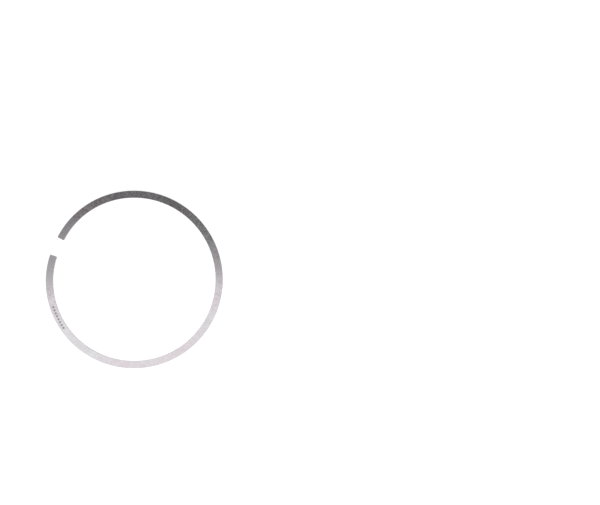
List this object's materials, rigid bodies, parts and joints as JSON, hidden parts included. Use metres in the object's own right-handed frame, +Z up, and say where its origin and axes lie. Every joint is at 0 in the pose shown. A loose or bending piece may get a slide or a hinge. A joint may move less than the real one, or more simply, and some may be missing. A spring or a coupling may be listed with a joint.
{
  "type": "piston ring",
  "caption": "Thin split ring of rectangular section, shown sprung open with a butt gap, that seals a piston against the wall of its cylinder.",
  "frame": {"origin": "middle of the ring's outline, on the lower side face", "axes": "+Z up out of the upper side face, +X towards the back of the ring, so that the gap is at -X"},
  "size_m": [0.0819, 0.0828, 0.0018],
  "materials": {
    "ring_steel": "lapped side faces with a satin sheen"
  },
  "bodies": {
    "root": {"piston_ring": "ring_steel"}
  },
  "joints": []
}
